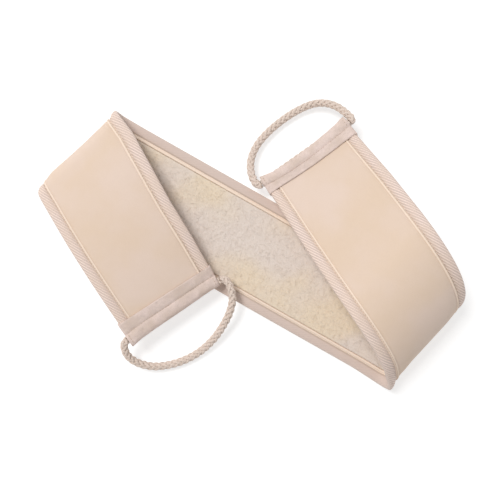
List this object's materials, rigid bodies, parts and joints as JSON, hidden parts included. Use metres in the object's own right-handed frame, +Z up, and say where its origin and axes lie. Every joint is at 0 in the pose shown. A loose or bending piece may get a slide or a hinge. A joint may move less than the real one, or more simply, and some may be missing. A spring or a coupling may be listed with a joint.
{
  "type": "loofah back scrubber",
  "caption": "Long padded strap with loofah on one face and smooth cloth on the other, bound edges, and a braided rope loop at each end; lying with both ends folded over.",
  "frame": {"origin": "on the surface it lies on, under the centre of the middle panel", "axes": "+X along the middle panel towards the right end's fold, +Y across the strap, +Z up"},
  "size_m": [0.3939, 0.3158, 0.0769],
  "materials": {
    "back_cloth": "matte fine cotton jersey",
    "loofah": "coarse pressed fibre",
    "foam": "open-cell foam",
    "edge_tape": "matte twill tape",
    "end_tape": "matte cotton tape",
    "cotton_rope": "matte braided cotton",
    "thread": "matte sewing thread"
  },
  "bodies": {
    "middle": {"middle_back_cloth": "back_cloth", "middle_foam": "foam", "middle_loofah": "loofah", "middle_upper_edge_tape": "edge_tape", "middle_lower_edge_tape": "edge_tape", "middle_seam_thread": "thread"},
    "left_fold_1": {"left_fold_1_back_cloth": "back_cloth", "left_fold_1_foam": "foam", "left_fold_1_loofah": "loofah", "left_fold_1_upper_edge_tape": "edge_tape", "left_fold_1_lower_edge_tape": "edge_tape", "left_fold_1_seam_thread": "thread"},
    "left_fold_2": {"left_fold_2_back_cloth": "back_cloth", "left_fold_2_foam": "foam", "left_fold_2_loofah": "loofah", "left_fold_2_upper_edge_tape": "edge_tape", "left_fold_2_lower_edge_tape": "edge_tape", "left_fold_2_seam_thread": "thread"},
    "left_panel": {"left_panel_back_cloth": "back_cloth", "left_panel_foam": "foam", "left_panel_loofah": "loofah", "left_panel_upper_edge_tape": "edge_tape", "left_panel_lower_edge_tape": "edge_tape", "left_panel_seam_thread": "thread", "left_end_band": "end_tape", "left_band_stitching": "thread"},
    "right_fold_1": {"right_fold_1_back_cloth": "back_cloth", "right_fold_1_foam": "foam", "right_fold_1_loofah": "loofah", "right_fold_1_upper_edge_tape": "edge_tape", "right_fold_1_lower_edge_tape": "edge_tape", "right_fold_1_seam_thread": "thread"},
    "right_fold_2": {"right_fold_2_back_cloth": "back_cloth", "right_fold_2_foam": "foam", "right_fold_2_loofah": "loofah", "right_fold_2_upper_edge_tape": "edge_tape", "right_fold_2_lower_edge_tape": "edge_tape", "right_fold_2_seam_thread": "thread"},
    "right_fold_3": {"right_fold_3_back_cloth": "back_cloth", "right_fold_3_foam": "foam", "right_fold_3_loofah": "loofah", "right_fold_3_upper_edge_tape": "edge_tape", "right_fold_3_lower_edge_tape": "edge_tape", "right_fold_3_seam_thread": "thread"},
    "right_panel": {"right_panel_back_cloth": "back_cloth", "right_panel_foam": "foam", "right_panel_loofah": "loofah", "right_panel_upper_edge_tape": "edge_tape", "right_panel_lower_edge_tape": "edge_tape", "right_panel_seam_thread": "thread", "right_end_band": "end_tape", "right_band_stitching": "thread"},
    "left_rope": {"left_rope_loop": "cotton_rope", "left_rope_in_band": "cotton_rope"},
    "right_rope": {"right_rope_loop": "cotton_rope", "right_rope_in_band": "cotton_rope"}
  },
  "joints": [
    {"name": "left_bend_1", "type": "hinge", "parent": "middle", "child": "left_fold_1", "pos_m": [-0.17789, 0.0004, 0.00163], "axis": [-0.2419, -0.9703, 0], "range_deg": [0, 58]},
    {"name": "left_bend_2", "type": "hinge", "parent": "left_fold_1", "child": "left_fold_2", "pos_m": [-0.18602, -0.00017, 0.01257], "axis": [-0.2419, -0.9703, 0], "range_deg": [0, 58]},
    {"name": "left_bend_3", "type": "hinge", "parent": "left_fold_2", "child": "left_panel", "pos_m": [-0.18233, -0.00369, 0.02522], "axis": [-0.2419, -0.9703, 0], "range_deg": [0, 58]},
    {"name": "left_rope_swing", "type": "hinge", "parent": "left_panel", "child": "left_rope", "pos_m": [-0.03275, -0.08329, 0.02147], "axis": [-0.4625, -0.8847, 0.0585], "range_deg": [0, 120]},
    {"name": "right_bend_1", "type": "hinge", "parent": "middle", "child": "right_fold_1", "pos_m": [0.17582, -0.00034, 0.00129], "axis": [0.23, 0.9732, 0], "range_deg": [0, 47]},
    {"name": "right_bend_2", "type": "hinge", "parent": "right_fold_1", "child": "right_fold_2", "pos_m": [0.18454, -0.00011, 0.01033], "axis": [0.23, 0.9732, 0], "range_deg": [0, 47]},
    {"name": "right_bend_3", "type": "hinge", "parent": "right_fold_2", "child": "right_fold_3", "pos_m": [0.1783, 0.0095, 0.04553], "axis": [0.23, 0.9732, 0], "range_deg": [0, 54]},
    {"name": "right_bend_4", "type": "hinge", "parent": "right_fold_3", "child": "right_panel", "pos_m": [0.13272, 0.03424, 0.0768], "axis": [0.23, 0.9732, 0], "range_deg": [0, 54]},
    {"name": "right_rope_swing", "type": "hinge", "parent": "right_panel", "child": "right_rope", "pos_m": [0.00114, 0.10251, 0.02205], "axis": [0.4315, 0.898, 0.0862], "range_deg": [0, 120]}
  ],
  "couplings": [
    {"joint": "left_bend_2", "follows": "left_bend_1", "ratio": 1},
    {"joint": "left_bend_3", "follows": "left_bend_1", "ratio": 1},
    {"joint": "right_bend_2", "follows": "right_bend_1", "ratio": 1},
    {"joint": "right_bend_3", "follows": "right_bend_1", "ratio": 1.1489},
    {"joint": "right_bend_4", "follows": "right_bend_1", "ratio": 1.1489}
  ]
}
